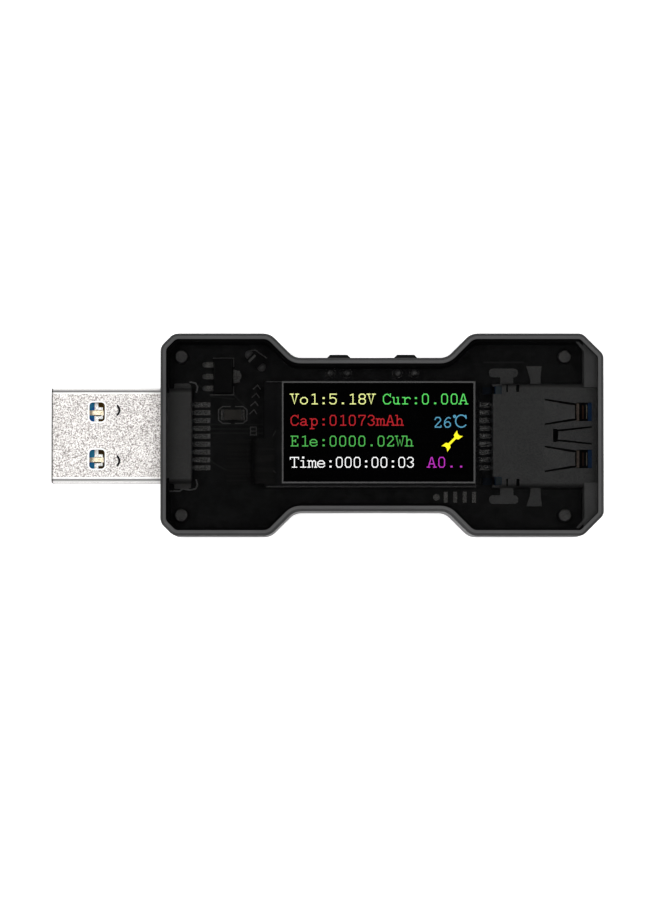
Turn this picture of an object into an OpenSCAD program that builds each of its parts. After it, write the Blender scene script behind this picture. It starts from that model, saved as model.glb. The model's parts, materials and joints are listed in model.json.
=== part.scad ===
// USB power meter: a dog-bone case with a USB-A plug at one end and a USB-A socket at the other.
// Frame: +X from the plug to the socket, +Y to the side with the two buttons, +Z out of the
// display. The origin is on the resting face, midway between the plug's tip and the socket's end.

/* [Case] */
// Length of the case without the plug
case_l = 55.8; // [55.4:0.1:57]
// Width of the case at its two wide ends
case_w = 25.5; // [25.3:0.1:28]
// Height of the case
case_h = 11; // [10.9:0.1:12.5]
// Step of each side of the waist
waist_inset = 3.07; // [2.8:0.01:3.3]
// Cut corners at the socket end
socket_chamfer = 2.65; // [1.6:0.05:3]
// Cut corners at the plug end
plug_chamfer = 1.65; // [1.4:0.05:2.2]
// Wall thickness of both shells
wall = 1; // [0.96:0.01:1.1]
// Thickness of the floor
floor_t = 1; // [0.8:0.05:1.2]
// Height of the seam between the shells
seam_z = 6.3; // [6.2:0.05:6.6]
// Width of the rim around the window
rim_w = 0.7; // [0.66:0.01:0.8]
// Chamfer along the outer edges
edge_chamfer = 0.38; // [0.2:0.01:0.5]
// Thickness of the smoked window
window_t = 1; // [0.8:0.05:1.1]

/* [Connectors] */
// Height of the plug's and the socket's centre line
axis_z = 5.5; // [5.45:0.01:5.55]
// How far the plug stands out of the case
plug_reach = 13.9; // [12:0.1:15]
// Width of the plug's shell
plug_w = 12; // [11.9:0.05:12.1]
// Thickness of the plug's shell
plug_t = 4.5; // [4.4:0.05:4.6]
// Width of the socket's shell
socket_w = 13.1; // [13:0.05:13.2]
// Thickness of the socket's shell
socket_t = 5.72; // [5.6:0.02:5.8]
// Length of the socket's shell
socket_l = 13.55; // [13:0.05:14]
// Sheet thickness of both connector shells
sheet = 0.3; // [0.25:0.01:0.35]

/* [Board] */
// Height of the board's upper face
board_top = 5.4; // [5.35:0.01:5.45]
// Thickness of the board
board_t = 1; // [0.8:0.1:1]
// Diameter of the four pins through the board
pin_d = 1.66; // [1.4:0.02:1.8]

/* [Display] */
// Length of the display module
lcd_l = 26.9; // [26:0.1:27.5]
// Width of the display module
lcd_w = 13.4; // [13:0.1:13.8]
// Length of the visible screen
screen_l = 24.1; // [22:0.1:24.5]
// Width of the visible screen
screen_w = 12.6; // [11:0.1:12.8]

/* [Buttons] */
// Width of a button
button_w = 2.94; // [2.4:0.02:3.2]
// Height of a button
button_h = 1.7; // [1.4:0.1:1.8]
// How far a button stands out of the case
button_out = 0.8; // [0.5:0.05:1]
// Travel of a button
button_travel = 0.25; // [0.15:0.05:0.3]

/* [Hidden] */
$fn = 48;

arc_steps = 5;               // segments in each rounded corner of an outline
plug_tip = -(case_l + plug_reach) / 2;
case_x0 = plug_tip + plug_reach;
case_x1 = case_x0 + case_l;
waist_x0 = case_x0 + 16.85;  // ends of the waist's straight sides
waist_x1 = case_x0 + 36.05;
waist_y = case_w / 2 - waist_inset;
fit = 0.1;                   // clearance around what passes through a wall
lip_t = 0.5;                 // the top shell's lip inside the seam
lip_drop = 0.6;
seam_groove = 0.12;          // chamfers that draw the seam as a fine groove
board_gap = 0.1;             // board edge to wall
board_bottom = board_top - board_t;
board_end = case_x1 - 2.55;  // the board's edge beside the socket
pad_t = 0.05;                // copper pads on the board
contact_t = 0.15;            // sheet of the contacts
contact_z = board_top + pad_t;
contact_slack = 0.02;        // room around a contact in its plastic
pin_pitch = 1;               // nine contact feet in one row
plug_x1 = plug_tip + 17.7;   // rear of the plug
socket_x1 = case_x1 - 0.3;   // mouth of the socket
socket_x0 = socket_x1 - socket_l;
power_y = [-3.5, -1, 1, 3.5];
power_foot_y = [-3, -1, 1, 3];
data_y = [-4, -2, 0, 2, 4];
pin_x = [case_x0 + 2.48, case_x1 - 4.7];
pin_y = case_w / 2 - 2.67;
pin_depth = 2;               // how deep a pin sits in its boss
button_x = [case_x0 + 22.46, case_x0 + 31];
button_z = 2.95;
button_tip_y = waist_y + button_out;
switch_front = waist_y - wall - 0.1;
lcd_x0 = case_x0 + 12.9;
lcd_y = 0.15;                // the display sits a little towards the buttons
screen_x0 = case_x0 + 15.42;
screen_y = 0.35;
lcd_z = [board_top + 1.4, board_top + 2.8, board_top + 3.8, board_top + 4]; // pad, light, glass, film tops

// ---------------------------------------------------------------- outlines

function unit(v) = v / norm(v);
function left_of(v) = [-v[1], v[0]];

// Corner b of the path a, b, c moved inwards by d.
function inset_corner(a, b, c, d) =
    let (n1 = left_of(unit(b - a)), n2 = left_of(unit(c - b)))
    b + d * (n1 + n2) / (1 + n1 * n2);

// Corner b of the path a, b, c as an arc of radius r.
function corner_arc(a, b, c, r) =
    let (
        u = unit(a - b),
        v = unit(c - b),
        half = acos(u * v) / 2,
        centre = b + unit(u + v) * r / sin(half),
        first = b + u * r / tan(half) - centre,
        last = b + v * r / tan(half) - centre,
        start = atan2(first[1], first[0]),
        sweep = (atan2(last[1], last[0]) - start + 540) % 360 - 180
    )
    [for (i = [0:arc_steps])
        centre + r * [cos(start + sweep * i / arc_steps), sin(start + sweep * i / arc_steps)]];

// Rounded outline of corners [x, y, r], anticlockwise, moved inwards by d.
function outline(corners, d = 0) =
    let (
        n = len(corners),
        p = [for (c = corners) [c[0], c[1]]],
        moved = [for (i = [0:n - 1]) inset_corner(p[(i + n - 1) % n], p[i], p[(i + 1) % n], d)]
    )
    [for (i = [0:n - 1])
        let (
            a = p[(i + n - 1) % n],
            c = p[(i + 1) % n],
            turn = cross(p[i] - a, c - p[i]),
            r = corners[i][2] - sign(turn) * d
        )
        each corner_arc(moved[(i + n - 1) % n], moved[i], moved[(i + 1) % n], max(r, 0.05))];

upper_corners = [
    [case_x1, case_w / 2 - socket_chamfer, 1.2],
    [case_x1 - socket_chamfer, case_w / 2, 1.2],
    [waist_x1 + waist_inset, case_w / 2, 2],
    [waist_x1, waist_y, 2],
    [waist_x0, waist_y, 2],
    [waist_x0 - waist_inset, case_w / 2, 2],
    [case_x0 + plug_chamfer, case_w / 2, 1.5],
    [case_x0, case_w / 2 - plug_chamfer, 1.5]
];
case_corners = concat(
    upper_corners,
    [for (i = [len(upper_corners) - 1:-1:0])
        [upper_corners[i][0], -upper_corners[i][1], upper_corners[i][2]]]
);

function case_outline(d) = outline(case_corners, d);
function box_corners(w, h, r) = [
    [w / 2, h / 2, r], [-w / 2, h / 2, r], [-w / 2, -h / 2, r], [w / 2, -h / 2, r]
];
function rounded_box(w, h, r) = outline(box_corners(w, h, r));

// ---------------------------------------------------------------- helpers

// A closed band around the case whose section is the list of [inset, z] points.
module case_band(section) {
    loops = [for (s = section) case_outline(s[0])];
    n = len(loops[0]);
    m = len(section);
    polyhedron(
        points = [for (k = [0:m - 1]) for (q = loops[k]) [q[0], q[1], section[k][1]]],
        faces = [for (k = [0:m - 1]) for (i = [0:n - 1])
            let (k2 = (k + 1) % m, i2 = (i + 1) % n)
            [k * n + i, k2 * n + i, k2 * n + i2, k * n + i2]]
    );
}

module case_plate(d, z0, z1) {
    translate([0, 0, z0]) linear_extrude(z1 - z0) polygon(case_outline(d));
}

// A box from its low corner to its high corner.
module span(low, high) {
    translate(low) cube(high - low);
}

// A rounded bar of section w by h along X, centred on the connector axis.
module bar_x(x0, x1, w, h, r) {
    translate([x0, 0, axis_z]) rotate([90, 0, 90]) linear_extrude(x1 - x0)
        polygon(rounded_box(w, h, r));
}

// A shape drawn in X and Z, w wide and centred on y.
module slice_y(y, w) {
    translate([0, y + w / 2, 0]) rotate([90, 0, 0]) linear_extrude(w) children();
}

// A flat plate of the children's outline, from z up by t.
module sheet_at(z, t) {
    translate([0, 0, z]) linear_extrude(t) children();
}

// A flat contact: a foot, a step sideways and a blade, with room g around it.
module flat_contact(foot_x, step_x, blade_x, foot_y, blade_y, foot_w, blade_w, g = 0) {
    s = sign(blade_x - foot_x);
    f = foot_w / 2 + g;
    b = blade_w / 2 + g;
    translate([0, 0, contact_z - g]) linear_extrude(contact_t + 2 * g) polygon([
        [foot_x - s * g, foot_y - f], [step_x, foot_y - f], [step_x + s * 0.6, blade_y - b],
        [blade_x + s * g, blade_y - b], [blade_x + s * g, blade_y + b],
        [step_x + s * 0.6, blade_y + b], [step_x, foot_y + f], [foot_x - s * g, foot_y + f]
    ]);
}

// ---------------------------------------------------------------- case

module connector_openings() {
    bar_x(case_x0 - 1, case_x0 + 3, plug_w + 2 * fit, plug_t + 2 * fit, 0.7);
    bar_x(case_x1 - 4, case_x1 + 1, socket_w + 2 * fit, socket_t + 2 * fit, 0.6);
}

// Where the wall is thinner above the plug and at the whole socket end, so that the window shows
// them up to the rim; the outline stays d clear of the pocket's.
module end_pockets(d) {
    top = case_h - window_t + 0.01 - d;
    intersection() {
        case_plate(rim_w + d, axis_z + socket_t / 2 + fit + d, top);
        span([board_end + d, -case_w, 0], [case_x1, case_w, case_h]);
    }
    intersection() {
        case_plate(rim_w + d, axis_z + plug_t / 2 + fit + d, top);
        span([case_x0, -plug_w / 2 - fit, 0], [case_x0 + wall + 0.5, plug_w / 2 + fit, case_h]);
    }
}

module pin_places() {
    for (x = pin_x, y = [-pin_y, pin_y]) translate([x, y, 0]) children();
}

// Bosses that the board rests on, bored for the pins.
module bosses() {
    pin_places() difference() {
        translate([0, 0, floor_t / 2]) cylinder(h = board_bottom - floor_t / 2, d = 3.2);
        translate([0, 0, board_bottom - pin_depth]) cylinder(h = case_h, d = pin_d + 0.04);
    }
}

module corner_pins() color("silver") pin_places() {
    translate([0, 0, board_bottom - pin_depth]) cylinder(h = pin_depth + board_t + 1.1, d = pin_d);
    translate([0, 0, board_top + 1.1]) cylinder(h = 0.1, d1 = pin_d, d2 = pin_d - 0.2);
}

// Ribs under the board along the waist, on the side without buttons.
module board_ribs() {
    for (x = [waist_x0 + 2, waist_x1 - 2])
        span([x, -waist_y + wall / 2, floor_t / 2], [x + 1, -waist_y + 2.2, board_bottom]);
}

module bottom_shell() color("dimgray") difference() {
    union() {
        case_band([
            [edge_chamfer, 0], [0, edge_chamfer], [0, seam_z - seam_groove], [seam_groove, seam_z],
            [wall - lip_t - 0.05, seam_z],
            [wall - lip_t - 0.05, seam_z - lip_drop - 0.05], [wall, seam_z - lip_drop - 0.05],
            [wall, 0]
        ]);
        case_plate(wall - 0.1, 0, floor_t);
        bosses();
        board_ribs();
    }
    connector_openings();
    for (x = button_x)
        span([x - button_w / 2 - fit, waist_y - wall - 1, button_z - button_h / 2 - fit],
             [x + button_w / 2 + fit, waist_y + 1, button_z + button_h / 2 + fit]);
}

// Two blocks beside the socket that carry the window's end.
module end_supports() color("darkgray") intersection() {
    union() {
        case_plate(wall + 0.05, floor_t, case_h - window_t);
        end_pockets(0.05);
    }
    for (m = [0, 1]) mirror([0, m, 0])
        span([board_end + 0.15, socket_w / 2 + fit, 0], [case_x1, case_w / 2, case_h]);
}

module top_shell() color("dimgray") difference() {
    case_band([
        [seam_groove, seam_z], [0, seam_z + seam_groove], [0, case_h - edge_chamfer],
        [edge_chamfer, case_h], [rim_w, case_h],
        [rim_w, case_h - window_t], [wall, case_h - window_t], [wall, seam_z - lip_drop],
        [wall - lip_t, seam_z - lip_drop], [wall - lip_t, seam_z]
    ]);
    connector_openings();
    end_pockets(0);
}

module smoked_window() color("#1a1a1aa0")
    case_plate(rim_w + 0.05, case_h - window_t + 0.08, case_h);

// Black adhesive between the window and the ledge, open along the plug and the socket end.
module window_tape() color("black") difference() {
    case_plate(rim_w + 0.05, case_h - window_t, case_h - window_t + 0.08);
    case_plate(rim_w + 0.22, case_h - window_t - 1, case_h);
    span([board_end, -case_w, 0], [case_x1 + 1, case_w, case_h]);
    span([case_x0 - 1, -plug_w / 2 - fit, 0], [case_x0 + 3, plug_w / 2 + fit, case_h]);
}

// ---------------------------------------------------------------- board

module switch_pin_places() {
    for (x = button_x, s = [-1, 1]) translate([x + s * 1.07, switch_front - 0.52, 0]) children();
}

module circuit_board() color("#101214") difference() {
    case_plate(wall + board_gap, board_bottom, board_top);
    span([board_end, -case_w, 0], [case_x1 + 1, case_w, case_h]);
    span([case_x0 - 1, -plug_w / 2 - fit, 0], [plug_x1 + fit, plug_w / 2 + fit, case_h]);
    span([socket_x0 - fit, -socket_w / 2 - fit, 0], [case_x1, socket_w / 2 + fit, case_h]);
    pin_places() cylinder(h = case_h, d = pin_d + 0.2);
    switch_pin_places() cylinder(h = case_h, d = 0.66);
}

// The part of the children that stands over the board.
module on_board() {
    intersection() {
        case_plate(wall + board_gap, board_top, case_h);
        children();
    }
}

regulator = [case_x0 + 7.8, 7.6];        // centres of the parts on the board's upper face
capacitor = [case_x0 + 8.99, 2.72];
diode = [case_x0 + 11.85, 9.6];
flex_x0 = case_x0 + 8.2;                 // the display flex's soldered end
flex_y = [-6.1, -0.4];
test_pad_x = [for (i = [0:3]) case_x0 + 36.05 + 1.2 * i];
test_pad_y = -7.75;

module pad_box(x, y, l, w) {
    translate([x - l / 2, y - w / 2, board_top]) cube([l, w, pad_t]);
}

module board_pads() color("silver") {
    for (i = [-4:4]) {
        pad_box(plug_x1 + 1.35, i * pin_pitch, 2, 0.64);
        pad_box(socket_x0 - 0.95, i * pin_pitch, 1.4, 0.64);
    }
    for (i = [-1:1]) pad_box(regulator[0] - 1.75, regulator[1] + 1.5 * i, 1.1, 0.7);
    pad_box(regulator[0] + 1.4, regulator[1], 1.4, 1.5);
    for (s = [-1, 1]) {
        pad_box(plug_x1 - 1.35, s * (plug_w / 2 + 0.42), 1.8, 0.5);
        pad_box(socket_x0 + 1.5, s * (socket_w / 2 + 1.55), 3.3, 0.8);
        pad_box(socket_x0 + 5.35, s * (socket_w / 2 + 1.5), 1.2, 1.3);
    }
    for (s = [-1, 1]) pad_box(capacitor[0] + s * 1.05, capacitor[1], 0.9, 1.35);
    for (x = test_pad_x) pad_box(x, test_pad_y, 0.5, 1.4);
    translate([case_x0 + 34.87, test_pad_y, board_top]) cylinder(h = pad_t, d = 0.85);
    on_board() switch_pin_places() translate([0, 0, board_top]) difference() {
        cylinder(h = pad_t, d = 1.3);
        translate([0, 0, -1]) cylinder(h = 2, d = 0.66);
    }
}

// ---------------------------------------------------------------- plug

module plug_windows() {
    for (y = [-2.99, 2.99]) translate([plug_tip + 5.77, y, 0]) linear_extrude(case_h)
        polygon(rounded_box(1.96, 2.43, 0.45));
}

// Half-moon slits that free the two detents behind the windows.
module plug_detents() {
    for (y = [-3.2, 3.2]) translate([plug_tip + 7.85, y, axis_z]) linear_extrude(case_h)
        difference() {
            circle(r = 0.88);
            circle(r = 0.6);
            translate([-1.2, -1]) square([1.6, 2]);
        }
}

module plug_shell() color("gainsboro") {
    difference() {
        bar_x(plug_tip, plug_x1, plug_w, plug_t, 0.6);
        bar_x(plug_tip - 1, plug_x1 + 1, plug_w - 2 * sheet, plug_t - 2 * sheet, 0.3);
        plug_windows();
        plug_detents();
        // folded seam along the lower face
        span([plug_tip - 1, -0.03, 0], [plug_x1 + 1, 0.03, axis_z]);
    }
    // solder legs on the board
    for (s = [-1, 1]) sheet_at(contact_z, sheet)
        polygon([
            [plug_x1 - 2.4, s * (plug_w / 2 - 0.2)], [plug_x1 - 0.1, s * (plug_w / 2 - 0.2)],
            [plug_x1 - 0.1, s * (plug_w / 2 + 0.5)], [plug_x1 - 0.4, s * (plug_w / 2 + 0.7)],
            [plug_x1 - 2.1, s * (plug_w / 2 + 0.7)]
        ]);
}

plug_block_x = plug_tip + 11.6;          // where the plug's cavity ends
plug_in_w = plug_w - 2 * sheet - 0.04;
plug_in_t = plug_t - 2 * sheet - 0.04;

module plug_power_contact(i, g = 0) {
    flat_contact(plug_x1 + 2, plug_tip + 8, plug_tip + 1.1, power_foot_y[i], power_y[i], 0.48, 1, g);
}

// A data contact: straight through the plug's block, then a sprung arm with a raised bump.
module plug_data_contact(y, g = 0) {
    z = contact_z;
    slice_y(y, 0.46 + 2 * g) offset(delta = g) polygon([
        [plug_x1 + 2, z], [plug_x1 + 2, z + contact_t], [plug_block_x, z + contact_t],
        [plug_tip + 9.6, z + 0.1], [plug_tip + 8.6, z + 0.5], [plug_tip + 8.1, z + 0.15],
        [plug_tip + 8.2, z], [plug_tip + 8.6, z + 0.32], [plug_tip + 9.5, z - 0.06],
        [plug_block_x, z]
    ]);
}

module plug_insulator() color("#1668c0") difference() {
    union() {
        bar_x(plug_block_x, plug_x1 - 0.2, plug_in_w, plug_in_t, 0.28);
        intersection() {
            bar_x(plug_tip + 0.3, plug_x1 - 0.2, plug_in_w, plug_in_t, 0.28);
            span([plug_tip, -plug_w, 0], [plug_x1, plug_w, contact_z - contact_slack]);
        }
    }
    for (i = [0:3]) plug_power_contact(i, contact_slack);
    for (y = data_y) {
        plug_data_contact(y, contact_slack);
        span([plug_tip + 7.8, y - 0.28, contact_z - 0.5], [plug_block_x + 0.2, y + 0.28, contact_z]);
    }
}

module plug_power_contacts() color("gold") for (i = [0:3]) plug_power_contact(i);
module plug_data_contacts() color("gold") for (y = data_y) plug_data_contact(y);

// ---------------------------------------------------------------- socket

finger_l = 3.7;

// Outline of a spring finger with its root at x = 0 and its tip towards +X.
module finger_shape(root_w, tip_w, length, grow = 0) {
    polygon([
        [-grow, -root_w / 2 - grow], [length + grow, -tip_w / 2 - grow],
        [length + grow, tip_w / 2 + grow], [-grow, root_w / 2 + grow]
    ]);
}

// Hole for a finger, and the window beyond its tip.
module finger_hole(root_w, tip_w, length, window) {
    finger_shape(root_w, tip_w, length, 0.2);
    if (window > 0) translate([length + 0.1, -tip_w / 2 - 0.32]) square([window, tip_w + 0.64]);
}

// A finger bent inwards from its root, with its tip turned back out.
module finger(root_w, tip_w, length) {
    bend = 4;
    translate([0, 0, -sheet]) rotate([0, bend, 0]) {
        translate([-0.3, 0, 0]) linear_extrude(sheet)
            finger_shape(root_w, tip_w, length + 0.3 - 0.5);
        translate([length - 0.52, 0, 0]) rotate([0, -3 * bend, 0]) linear_extrude(sheet)
            translate([0, -tip_w / 2]) square([0.5, tip_w]);
    }
}

// The places of the two outer fingers and of the middle one, which points the other way.
module outer_fingers() {
    for (y = [-2.98, 2.98]) translate([case_x1 - 7.1, y, 0]) children();
}
module middle_finger() {
    translate([case_x1 - 1.55, 0, 0]) rotate([0, 0, 180]) children();
}

module finger_holes() {
    outer_fingers() finger_hole(2.95, 1.72, finger_l, 1.95);
    middle_finger() finger_hole(1.95, 1.05, finger_l + 0.4, 0.5);
}

module fingers() {
    outer_fingers() finger(2.95, 1.72, finger_l);
    middle_finger() finger(1.95, 1.05, finger_l + 0.4);
}

// Solder tabs on one side, drawn with the shell's side at y = 0.
module tab_shapes() {
    translate([socket_x0 + 1.45, 0]) {
        translate([-0.43, -0.2]) square([1.66, 1.4]);
        translate([0, 1.5]) polygon(rounded_box(3.7, 1.1, 0.5));
    }
    translate([socket_x0 + 5.3, 0]) polygon([
        [-0.4, -0.2], [0.85, -0.2], [0.85, 0.9], [1, 2.35], [-0.95, 2.35], [-0.5, 0.9]
    ]);
}

module socket_shell() color("silver") {
    top = axis_z + socket_t / 2;
    difference() {
        bar_x(socket_x0, socket_x1, socket_w, socket_t, 0.5);
        bar_x(socket_x0 - 1, socket_x1 + 1, socket_w - 2 * sheet, socket_t - 2 * sheet, 0.2);
        linear_extrude(2 * case_h) finger_holes();
        for (s = [-1, 1]) translate([case_x1 - 7, s * socket_w / 2, axis_z])
            rotate([-s * 90, 0, 0]) translate([0, 0, -1]) linear_extrude(2)
                finger_hole(1.8, 1.2, finger_l, 0);
        // cut corners and slots at the rear of the top
        for (s = [-1, 1], x = [[-1, 1.1, 0.7], [1.7, 1.9, 0.45], [2.95, 3.35, 0.45]])
            span([socket_x0 + x[0], s * 5.95 - x[2], axis_z + socket_t / 4],
                 [socket_x0 + x[1], s * 5.95 + x[2], case_h]);
    }
    translate([0, 0, top]) fingers();
    translate([0, 0, axis_z - socket_t / 2]) mirror([0, 0, 1]) fingers();
    for (s = [-1, 1]) translate([case_x1 - 7, s * socket_w / 2, axis_z])
        rotate([-s * 90, 0, 0]) finger(1.8, 1.2, finger_l);
    for (s = [0, 1]) mirror([0, s, 0]) translate([0, socket_w / 2, 0])
        sheet_at(contact_z, sheet) tab_shapes();
}

socket_in_w = socket_w - 2 * sheet - 0.04;
socket_in_t = socket_t - 2 * sheet - 0.04;
socket_block_x = socket_x0 + 3.8;        // where the socket's cavity ends
tongue_z = contact_z + contact_t + contact_slack;
tongue_t = 1.8;

// A power contact: a flat stem, then a spring that bows down below the tongue.
module socket_power_contact(i, g = 0) {
    z = contact_z;
    flat_contact(socket_x0 - 1.6, socket_block_x - 2.4, case_x1 - 5.4, power_foot_y[i], power_y[i],
                 0.44, 0.5, g);
    slice_y(power_y[i], 0.5) polygon([
        [case_x1 - 5.4, z], [case_x1 - 5.4, z + contact_t], [case_x1 - 3.4, z - 0.4],
        [case_x1 - 2.6, z - 0.1], [case_x1 - 2.6, z - 0.27], [case_x1 - 3.4, z - 0.58]
    ]);
}

module socket_data_contact(y, g = 0) {
    flat_contact(socket_x0 - 1.6, socket_x0, case_x1 - 1.6, y, y, 0.44, 0.3, g);
}

module socket_insulator() color("#1668c0") difference() {
    union() {
        bar_x(socket_x0 + 0.3, socket_block_x, socket_in_w, socket_in_t, 0.18);
        span([socket_block_x - 0.1, -5.6, tongue_z], [case_x1 - 1.3, 5.6, tongue_z + tongue_t]);
    }
    for (i = [0:3]) socket_power_contact(i, contact_slack);
    for (y = data_y) socket_data_contact(y, contact_slack);
}

module socket_power_contacts() color("gold") for (i = [0:3]) socket_power_contact(i);
module socket_data_contacts() color("gold") for (y = data_y) socket_data_contact(y);

// ---------------------------------------------------------------- display

module lcd_layer(margin, z0, z1) {
    span([lcd_x0 + margin, lcd_y - lcd_w / 2 + margin, z0],
         [lcd_x0 + lcd_l - margin, lcd_y + lcd_w / 2 - margin, z1]);
}

module display_pad() color("#303030") lcd_layer(1.2, board_top, lcd_z[0]);

module display_backlight() color("white") difference() {
    lcd_layer(0, lcd_z[0], lcd_z[1]);
    lcd_layer(0.8, lcd_z[0] + 0.3, lcd_z[1] + 1);
}

module display_light_guide() color("#e8eef4") lcd_layer(0.82, lcd_z[0] + 0.3, lcd_z[1]);

// Two panes: the lower one reaches further to take the flex.
module display_glass() color("#202226") {
    lcd_layer(0.15, lcd_z[1], lcd_z[1] + 0.5);
    span([lcd_x0 + 1.7, lcd_y - lcd_w / 2 + 0.15, lcd_z[1] + 0.5],
         [lcd_x0 + lcd_l - 0.15, lcd_y + lcd_w / 2 - 0.15, lcd_z[2]]);
}

module display_polariser() color("black")
    span([screen_x0, screen_y - screen_w / 2, lcd_z[2]],
         [screen_x0 + screen_l, screen_y + screen_w / 2, lcd_z[3]]);

// Printed flex from the glass ledge down to the board, with a round bend at each end.
flex_t = 0.12;
flex_r = 0.9;
flex_low = contact_z + flex_t / 2;       // heights of its middle on the board and on the glass
flex_high = lcd_z[1] + 0.5 + flex_t / 2;
flex_bend_x = lcd_x0 - 1.25;

module flex_slice() {
    slice_y((flex_y[0] + flex_y[1]) / 2, flex_y[1] - flex_y[0]) children();
}

// A quarter ring about x and z, starting at the angle a.
module flex_bend(x, z, a) {
    flex_slice() translate([x, z]) intersection() {
        difference() {
            circle(r = flex_r + flex_t / 2);
            circle(r = flex_r - flex_t / 2);
        }
        rotate(a) square(2 * flex_r);
    }
}

module display_flex() color("#3a2f12") {
    low_end = flex_bend_x - flex_r;
    high_end = flex_bend_x + flex_r;
    flex_slice() translate([flex_x0, flex_low - flex_t / 2])
        square([low_end - flex_x0, flex_t]);
    flex_bend(low_end, flex_low + flex_r, -90);
    flex_slice() translate([flex_bend_x - flex_t / 2, flex_low + flex_r])
        square([flex_t, flex_high - flex_low - 2 * flex_r]);
    flex_bend(high_end, flex_high - flex_r, 90);
    flex_slice() translate([high_end, flex_high - flex_t / 2])
        square([lcd_x0 + 1.5 - high_end, flex_t]);
}

// ---------------------------------------------------------------- buttons

// Everything below is drawn for a switch at x = 0 that is pressed along -Y.
module button() {
    w = button_w / 2;
    h = button_h / 2;
    bevel = 0.38;
    translate([0, 0, button_z - h]) linear_extrude(button_h) polygon([
        [-w, switch_front - 0.5], [w, switch_front - 0.5], [w, button_tip_y - bevel],
        [w - bevel, button_tip_y], [-w + bevel, button_tip_y], [-w, button_tip_y - bevel]
    ]);
    span([-1.85, switch_front - 1.1, button_z - 1], [1.85, switch_front - 0.5, button_z + 1]);
}

// A snap dome: a thin dished disc behind the button, just clear of it when it is pressed.
module switch_dome() {
    r = 2.6;
    rim = 1;
    translate([0, switch_front - 1.13 - button_travel - r, button_z]) rotate([-90, 0, 0]) intersection() {
        difference() {
            sphere(r = r);
            sphere(r = r - 0.08);
        }
        cylinder(h = 2 * r, r = rim);
        translate([0, 0, r / 2]) cylinder(h = r, r = rim);
    }
}

module switch_body() difference() {
    span([-2.3, switch_front - 3.5, button_z - 1.45],
         [2.3, switch_front - 0.15, board_bottom]);
    span([-1.95, switch_front - 1.43 - button_travel, button_z - 1.1],
         [1.95, switch_front - 0.4, button_z + 1.1]);
    span([-button_w / 2 - fit, switch_front - 1, button_z - button_h / 2 - fit],
         [button_w / 2 + fit, switch_front + 1, button_z + button_h / 2 + fit]);
}

// Sheet-metal bracket: a front plate with the button's hole and two side cheeks.
module switch_bracket() {
    difference() {
        span([-2.45, switch_front - 0.14, button_z - 1.45], [2.45, switch_front, board_bottom]);
        span([-button_w / 2 - fit, switch_front - 1, button_z - button_h / 2 - fit],
             [button_w / 2 + fit, switch_front + 1, button_z + button_h / 2 + fit]);
    }
    for (s = [0, 1]) mirror([s, 0, 0])
        span([2.31, switch_front - 2.6, button_z - 1.2], [2.45, switch_front - 0.1, board_bottom]);
}

module button_left() color("#0c0c0c") translate([button_x[0], 0, 0]) button();
module button_right() color("#0c0c0c") translate([button_x[1], 0, 0]) button();
module switch_dome_left() color("silver") translate([button_x[0], 0, 0]) switch_dome();
module switch_dome_right() color("silver") translate([button_x[1], 0, 0]) switch_dome();
module switch_body_left() color("#222222") translate([button_x[0], 0, 0]) switch_body();
module switch_body_right() color("#222222") translate([button_x[1], 0, 0]) switch_body();
module switch_bracket_left() color("silver") translate([button_x[0], 0, 0]) switch_bracket();
module switch_bracket_right() color("silver") translate([button_x[1], 0, 0]) switch_bracket();

module switch_pins() color("silver") switch_pin_places()
    translate([0, 0, board_bottom]) cylinder(h = board_t + 0.45, d = 0.46);

// ---------------------------------------------------------------- parts on the board

// A plastic package with sloping sides, centred on x and y, from z0 to z1.
module package(l, w, z0, z1) {
    slope = 0.12;
    mid = (z0 + z1) / 2;
    hull() {
        translate([-l / 2, -w / 2, mid - 0.05]) cube([l, w, 0.1]);
        translate([-l / 2 + slope, -w / 2 + slope, z0]) cube([l - 2 * slope, w - 2 * slope, z1 - z0]);
    }
}

// A gull-wing lead pointing along +X from x = 0, for a package standing on z = 0.
module gull_lead(w, reach, rise) {
    t = 0.12;
    rotate([90, 0, 0]) translate([0, 0, -w / 2]) linear_extrude(w) polygon([
        [-0.02, rise], [0.2, rise], [0.4, t], [reach, t], [reach, 0], [0.32, 0],
        [0.12, rise - t], [-0.02, rise - t]
    ]);
}

module regulator_body() color("#161616") translate(regulator) package(2.5, 4.5, contact_z, contact_z + 1.5);

module regulator_leads() color("silver") translate([regulator[0], regulator[1], contact_z]) {
    for (i = [-1:1]) translate([-2.25, 1.5 * i - 0.24, 0]) cube([0.98, 0.48, 0.38]);
    translate([1.26, 0, 0]) linear_extrude(0.38) intersection() {
        circle(r = 0.88);
        translate([0, -1]) square([1, 2]);
    }
}

// A chip part with metal end caps, as three touching boxes.
module chip(l, w, h, cap) {
    for (s = [-1, 1]) translate([s * (l - cap) / 2, 0, h / 2]) cube([cap, w, h], center = true);
    translate([0, 0, h / 2]) cube([l - 2 * cap, w - 0.06, h - 0.06], center = true);
}

module filter_capacitor() color("#8a7350") translate([capacitor[0], capacitor[1], contact_z]) chip(2.1, 1.3, 0.9, 0.45);

module clamp_diode() color("#1c1c1c") translate([diode[0], diode[1], board_top]) rotate([0, 0, -45]) {
    translate([0, 0, 0.62]) cube([1.7, 1.3, 0.9], center = true);
    for (s = [-1, 1]) translate([s * 0.95, 0, 0.15]) cube([0.5, 0.6, 0.3], center = true);
}

mcu = [case_x0 + 27, -2.4];
amplifier = [case_x0 + 10.2, 3.4];
shunt = [case_x0 + 9.5, -7.4];

// What hangs below the board is drawn upright and turned over at x and y.
module below_board(p) {
    translate([p[0], p[1], board_bottom]) mirror([0, 0, 1]) children();
}

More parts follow.
